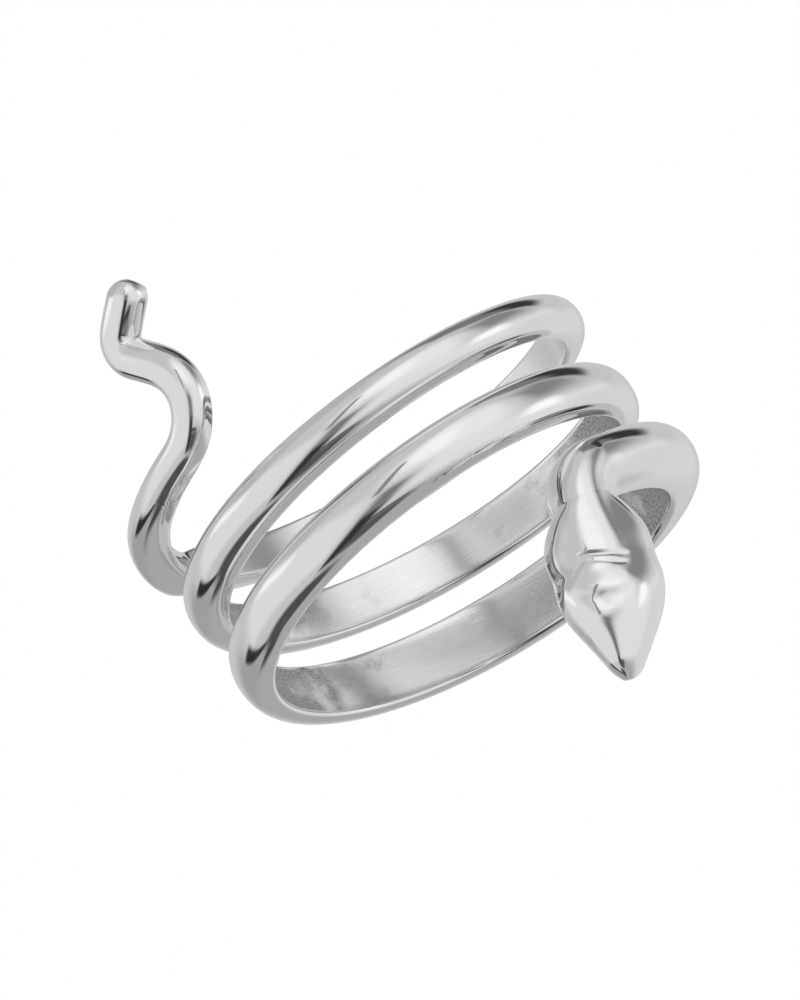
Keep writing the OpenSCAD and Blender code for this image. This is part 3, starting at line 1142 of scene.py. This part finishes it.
@dataclass(frozen=True)
class SnakeRing:
    """The whole ring as one casting.

    Args:
        name: Name of the piece.
        coil: The band round the finger.
        head: The neck and the head.
        tail: The wavy tail.
        section: Outline of the metal.
        cad_steps: Steps of the CAD model, which rests on its own corners.
        cad_points: Points round a section of the CAD model.
        steps: Steps of the dressed model.
        soft_turns: Length of the coil's end, in turns, whose inside is finished like the tail's.
        outside: Finish of the outside.
        inside: Finish of the inside.
        underside: Finish of the tail's underside.
    """

    name: str = "silver_snake"
    coil: CoilBand = field(default_factory=CoilBand)
    head: NeckAndHead = field(default_factory=NeckAndHead)
    tail: WavyTail = field(default_factory=WavyTail)
    section: Section = field(default_factory=Section)
    cad_steps: MeshSteps = MeshSteps(turn=48, bend=9, head=22, tail=44, tip=5)
    cad_points: int = 20
    steps: MeshSteps = MeshSteps(turn=180, bend=44, head=240, tail=160, tip=20)
    soft_turns: float = 0.35
    outside: PolishedSilver = field(default_factory=PolishedSilver)
    inside: SatinSilver = field(default_factory=SatinSilver)
    underside: PolishedSilver = PolishedSilver(name="soft_silver", rough_low=0.20, rough_high=0.26)

    def stations(self, steps: MeshSteps) -> Stations:
        """Stations from the snout to the tail's tip.

        Args:
            steps: Steps along the parts.

        Returns:
            The stations of the whole body.
        """
        coil = self.coil.stations(steps.turn)
        return Stations.joined([
            self.head.stations(coil, steps.bend, steps.head, steps.tip),
            coil,
            self.tail.stations(coil, steps.tail, steps.tip),
        ])

    def rest_pose(self) -> RestPose:
        """Finds the pose in which the CAD model rests.

        Returns:
            The pose.
        """
        at = self.stations(self.cad_steps)
        angle = (np.arange(self.cad_points) + 0.5) * 360.0 / self.cad_points
        outlines = np.stack(self.section.outline(at, self.head, angle, fine=False), axis=-1)
        return RestPose.of(self.section.wrapped(at, outlines), self.section.finger_radius)

    def build(self, pose: RestPose) -> bpy.types.Object:
        """Builds the ring's mesh in the row's frame.

        Args:
            pose: The pose in which the ring rests.

        Returns:
            The object, without its finish.
        """
        at = self.stations(self.steps)
        angle = -90.0 + np.arange(Section.FINE) * 360.0 / Section.FINE
        across, off = self.section.outline(at, self.head, angle, fine=True)
        outlines = np.stack([
            self.section.cut(a, b, edge) for a, b, edge in zip(across, off, at.edge)
        ])
        points = self.section.wrapped(at, outlines)
        mesh = bpy.data.meshes.new(self.name)
        mesh.from_pydata(pose.placed(points.reshape(-1, 3)).tolist(), [], self.faces(len(at.x)))
        self.paint_regions(mesh, len(at.x))
        self.lay_out(mesh, at.along(), self.girth(outlines))
        mesh.update()
        mesh.validate()
        mesh.shade_smooth()
        piece = bpy.data.objects.new(self.name, mesh)
        bpy.context.scene.collection.objects.link(piece)
        return piece

    def faces(self, rings: int) -> list[tuple[int, ...]]:
        """Faces between the stations, and a cap on each tip.

        Args:
            rings: Number of stations.

        Returns:
            The faces, facing outwards.
        """
        n = self.section.points()
        quads = []
        for i in range(rings - 1):
            for j in range(n):
                k = (j + 1) % n
                quads.append((i * n + j, i * n + k, (i + 1) * n + k, (i + 1) * n + j))
        last = (rings - 1) * n
        snout = tuple(reversed(range(n)))
        tip = tuple(range(last, last + n))
        return quads + [snout, tip]

    @staticmethod
    def girth(outlines: np.ndarray) -> np.ndarray:
        """Distances round the outlines.

        Args:
            outlines: Points across and off, for each station.

        Returns:
            The distance of each point round its outline, with the first point once more at the
            end.
        """
        closed = np.concatenate([outlines, outlines[:, :1]], axis=1)
        steps = np.linalg.norm(np.diff(closed, axis=1), axis=-1)
        return np.concatenate([np.zeros((len(outlines), 1)), np.cumsum(steps, axis=1)], axis=1)

    def paint_regions(self, mesh: bpy.types.Mesh, rings: int) -> None:
        """Gives the flat inside its satin, and the tail's underside its softer polish.

        Args:
            mesh: The ring's mesh.
            rings: Number of stations.
        """
        n = self.section.points()
        first = self.section.outer_points + self.section.edge_points
        row = np.zeros(n, int)
        row[first:first + self.section.inner_points - 1] = 1
        tail = round(self.soft_turns * self.steps.turn) + self.steps.tail + self.steps.tip
        places = np.concatenate([
            np.tile(row * Region.INSIDE.value, rings - 1 - tail),
            np.tile(row * Region.UNDERSIDE.value, tail),
            np.full(2, Region.OUTSIDE.value),
        ])
        mesh.polygons.foreach_set("material_index", places.astype(np.int32))

    def lay_out(self, mesh: bpy.types.Mesh, along: np.ndarray, girth: np.ndarray) -> None:
        """Lays the mesh out flat: along the body and round it, in millimetres.

        Args:
            mesh: The ring's mesh.
            along: Distance of each station along the body.
            girth: Distance of each point round its outline.
        """
        n = self.section.points()
        rings = len(along)
        i, j = np.meshgrid(np.arange(rings - 1), np.arange(n), indexing="ij")
        u = np.stack([along[i], along[i], along[i + 1], along[i + 1]], axis=-1)
        v = np.stack([girth[i, j], girth[i, j + 1], girth[i + 1, j + 1], girth[i + 1, j]], axis=-1)
        flat = np.stack([u, v], axis=-1).reshape(-1, 2)
        caps = np.zeros((2 * n, 2))
        layer = mesh.uv_layers.new(name="girth")
        layer.data.foreach_set("uv", np.vstack([flat, caps]).astype(np.float32).ravel())

    def dress(self, piece: bpy.types.Object) -> None:
        """Gives the ring its finishes and its place in the model.

        Args:
            piece: The ring.
        """
        for finish in (self.outside, self.inside, self.underside):
            piece.data.materials.append(finish.material())
        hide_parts("snake_ring")
        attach(piece, "root")


@dataclass(frozen=True)
class Picture:
    """Axes of the photo's picture in the row's frame.

    Args:
        eye: Place of the camera in metres.
        toward: Direction from the ring to the camera.
        right: Direction that runs to the right in the picture.
        up: Direction that runs up in the picture.
    """

    eye: Vector
    toward: Vector
    right: Vector
    up: Vector


@dataclass(frozen=True)
class PhotoCamera:
    """The camera at the photo's angle to the ring.

    Args:
        azimuth: Azimuth of the line of sight in the ring's own frame.
        elevation: Elevation of the line of sight in the ring's own frame.
        hole_tilt: Angle from the picture's up to the hole's axis, to the left.
        aim_up: Height up the finger of the point that the line of sight goes through.
        distance: Distance of the camera from that point.
        centre_right: Distance of the picture's centre from that point, to the right.
        centre_up: Distance of the picture's centre from that point, upwards.
        lens: Focal length for the sensor.
        sensor: Height of the picture on the sensor.
        near: Nearest distance that the camera sees, in metres.
        far: Farthest distance that the camera sees, in metres.
    """

    azimuth: float = -48.0
    elevation: float = -17.3
    hole_tilt: float = 34.4
    aim_up: float = 2.58
    distance: float = 396.0
    centre_right: float = -1.713
    centre_up: float = 1.973
    lens: float = 362.0
    sensor: float = 36.0
    near: float = 0.05
    far: float = 20.0

    def picture(self, pose: RestPose) -> Picture:
        """Works out the picture's axes.

        Args:
            pose: The pose in which the ring rests.

        Returns:
            The axes in the row's frame.
        """
        azimuth, elevation = math.radians(self.azimuth), math.radians(self.elevation)
        toward = np.array([
            math.cos(elevation) * math.cos(azimuth),
            math.cos(elevation) * math.sin(azimuth),
            math.sin(elevation),
        ])
        hole = np.array([0.0, 0.0, 1.0]) - toward[2] * toward
        hole /= np.linalg.norm(hole)
        beside = np.cross(hole, toward)
        tilt = math.radians(self.hole_tilt)
        up = math.cos(tilt) * hole + math.sin(tilt) * beside
        right = math.cos(tilt) * beside - math.sin(tilt) * hole
        centre = self.centre_right * right + self.centre_up * up
        eye = np.array([0.0, 0.0, self.aim_up]) + self.distance * toward
        sight = eye - np.array([0.0, 0.0, self.aim_up]) - centre
        toward = sight / np.linalg.norm(sight)
        axes = [Vector(pose.turned(axis)[0]) for axis in (toward, right, up)]
        return Picture(Vector(pose.placed(eye[None, :])[0]), *axes)

    def build(self, picture: Picture) -> bpy.types.Object:
        """Makes the camera and gives it to the scene.

        Args:
            picture: The picture's axes.

        Returns:
            The camera.
        """
        data = bpy.data.cameras.new("photo_camera")
        data.lens, data.sensor_width = self.lens, self.sensor
        data.clip_start, data.clip_end = self.near, self.far
        camera = bpy.data.objects.new("photo_camera", data)
        bpy.context.scene.collection.objects.link(camera)
        right = picture.up.cross(picture.toward).normalized()
        up = picture.toward.cross(right)
        turn = Matrix((right, up, picture.toward)).transposed()
        camera.matrix_world = Matrix.Translation(picture.eye) @ turn.to_4x4()
        bpy.context.scene.camera = camera
        return camera


class Panel(NamedTuple):
    """Soft box, white wall or black flag of the studio: a soft rectangle of the sky round the ring.

    Directions are angles from the photo's line of sight: azimuth to the picture's right and
    elevation towards its top.
    """

    name: str
    azimuth: float
    elevation: float
    half_wide: float
    half_high: float
    blur: float
    tone: float


@dataclass(frozen=True)
class Studio:
    """White floor and soft light round the ring.

    Args:
        floor_radius: Radius of the floor in metres.
        floor_sides: Sides of the floor's round edge.
        floor_tone: Brightness of the floor.
        fill: Brightness of the light between the panels.
        panels: The panels, from the farthest back to the nearest.
    """

    floor_radius: float = 4.0
    floor_sides: int = 96
    floor_tone: float = 1.0
    fill: float = 0.60
    panels: tuple[Panel, ...] = (
        Panel("left wall", -72, -14, 46, 30, 16, 0.77),
        Panel("left lamp", -98, 4, 16, 8, 12, 1.08),
        Panel("right wall", 72, 5, 62, 22, 18, 0.80),
        Panel("back right wall", 130, -8, 30, 24, 20, 0.72),
        Panel("low right wall", 95, -48, 92, 20, 14, 0.42),
        Panel("back left wall", -125, 34, 42, 28, 18, 0.50),
        Panel("back top flag", 172, 58, 38, 20, 14, 0.20),
        Panel("right top flag", 104, 56, 25, 15, 22, 0.25),
        Panel("back right flag", 156, 47, 22, 9, 10, 0.04),
        Panel("right lamp", 80, 22, 11, 11, 14, 1.08),
        Panel("low back grey", -155, -45, 22, 25, 20, 0.38),
        Panel("back left flag", -128, -52, 8, 19, 7, 0.03),
        Panel("under flag", 172, -70, 18, 10, 10, 0.06),
        Panel("table", 0, -84, 180, 14, 12, 0.08),
        Panel("low front gap", 14, -47, 26, 15, 14, 0.10),
        Panel("front gap", -8, -35, 10, 26, 10, 0.04),
        Panel("front gap edge", 12, -30, 18, 2, 4, 0.04),
        Panel("front gap top", -8, 0, 10, 14, 14, 0.20),
        Panel("top soft box", 14, 52, 46, 29, 34, 0.87),
        Panel("soft box core", -4, 48, 18, 14, 22, 0.99),
        Panel("soft box edge", -25, 28, 3, 14, 4, 0.25),
    )

    # Colour of the floor and of the light
    WHITE = (1.0, 1.0, 1.0, 1.0)

    def build_floor(self, height: float) -> bpy.types.Object:
        """Builds the floor.

        Args:
            height: Height of the floor in metres.

        Returns:
            The floor.
        """
        corners = [
            (
                self.floor_radius * math.cos(2 * math.pi * i / self.floor_sides),
                self.floor_radius * math.sin(2 * math.pi * i / self.floor_sides),
                height,
            )
            for i in range(self.floor_sides)
        ]
        mesh = bpy.data.meshes.new("floor")
        mesh.from_pydata(corners, [], [tuple(range(self.floor_sides))])
        floor = bpy.data.objects.new("floor", mesh)
        bpy.context.scene.collection.objects.link(floor)
        white = bpy.data.materials.new("white_floor")
        white.use_nodes = True
        table = NodeTable(white.node_tree)
        shine = {"Color": self.WHITE, "Strength": self.floor_tone}
        glow = table.add("ShaderNodeEmission", shine)
        table.add("ShaderNodeOutputMaterial", {"Surface": glow.outputs[0]})
        mesh.materials.append(white)
        floor.visible_glossy = False
        floor.visible_diffuse = False
        return floor

    def build_light(self, picture: Picture) -> bpy.types.World:
        """Makes the sky of soft panels, which stays where it is in every view.

        Args:
            picture: The picture's axes, from which the panels' directions are measured.

        Returns:
            The world.
        """
        world = bpy.data.worlds.new("studio")
        world.use_nodes = True
        table = NodeTable(world.node_tree)
        way = table.add("ShaderNodeTexCoord").outputs["Generated"]
        beside, front = table.dot(way, picture.right), table.dot(way, picture.toward)
        azimuth = table.maths("ARCTAN2", beside, front)
        elevation = table.maths("ARCSINE", table.dot(way, picture.up))
        tone = self.fill
        for panel in self.panels:
            share = self.panel_share(table, panel, azimuth, elevation)
            tone = table.add("ShaderNodeMix", {0: share, 2: tone, 3: panel.tone}).outputs[0]
        studio = table.add("ShaderNodeBackground", {"Strength": tone})
        paper = table.add("ShaderNodeBackground", {"Strength": self.floor_tone})
        seen = table.add("ShaderNodeLightPath").outputs["Is Camera Ray"]
        both = {0: seen, 1: studio.outputs[0], 2: paper.outputs[0]}
        either = table.add("ShaderNodeMixShader", both)
        for background in (studio, paper):
            background.inputs["Color"].default_value = self.WHITE
        table.add("ShaderNodeOutputWorld", {"Surface": either.outputs[0]})
        bpy.context.scene.world = world
        return world

    @staticmethod
    def panel_share(
        table: NodeTable,
        panel: Panel,
        azimuth: bpy.types.NodeSocket,
        elevation: bpy.types.NodeSocket,
    ) -> bpy.types.NodeSocket:
        """How fully a direction meets a panel.

        Args:
            table: The world's nodes.
            panel: The panel.
            azimuth: Azimuth of the direction.
            elevation: Elevation of the direction.

        Returns:
            A share from 0, beside the panel, to 1, on it.
        """
        beside = table.maths("SUBTRACT", azimuth, math.radians(panel.azimuth))
        beside = table.maths("ABSOLUTE", table.maths("WRAP", beside, math.pi, -math.pi))
        above = table.maths("SUBTRACT", elevation, math.radians(panel.elevation))
        above = table.maths("ABSOLUTE", above)
        shares = []
        for gap, half in ((beside, panel.half_wide), (above, panel.half_high)):
            inner = math.radians(half - panel.blur / 2)
            outer = math.radians(half + panel.blur / 2)
            shares.append(table.ramp(gap, inner, outer, 1.0, 0.0))
        return table.maths("MULTIPLY", *shares)


def main() -> None:
    """Builds the camera, the ring with its finishes, and the studio, in that order."""
    logging.basicConfig(level=logging.INFO, format="%(name)s: %(message)s")
    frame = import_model()
    ring = SnakeRing()
    pose = ring.rest_pose()
    camera = PhotoCamera()
    picture = camera.picture(pose)
    camera.build(picture)
    log.info("camera for %s CAD node(s)", len(frame["nodes"]))
    piece = ring.build(pose)
    ring.dress(piece)
    log.info("%s: %s faces", piece.name, len(piece.data.polygons))
    forms = ring.head.forms + ring.head.creases
    log.info("forms on the head: %s", ", ".join(form.name for form in forms))
    lowest = min(corner[2] for corner in piece.bound_box)
    studio = Studio()
    studio.build_floor(min(0.0, lowest))
    studio.build_light(picture)
    log.info("studio panels: %s", ", ".join(panel.name for panel in studio.panels))
    bpy.context.scene.view_settings.view_transform = "Standard"
    bpy.context.scene.view_settings.look = "None"


if __name__ == "__main__":
    main()
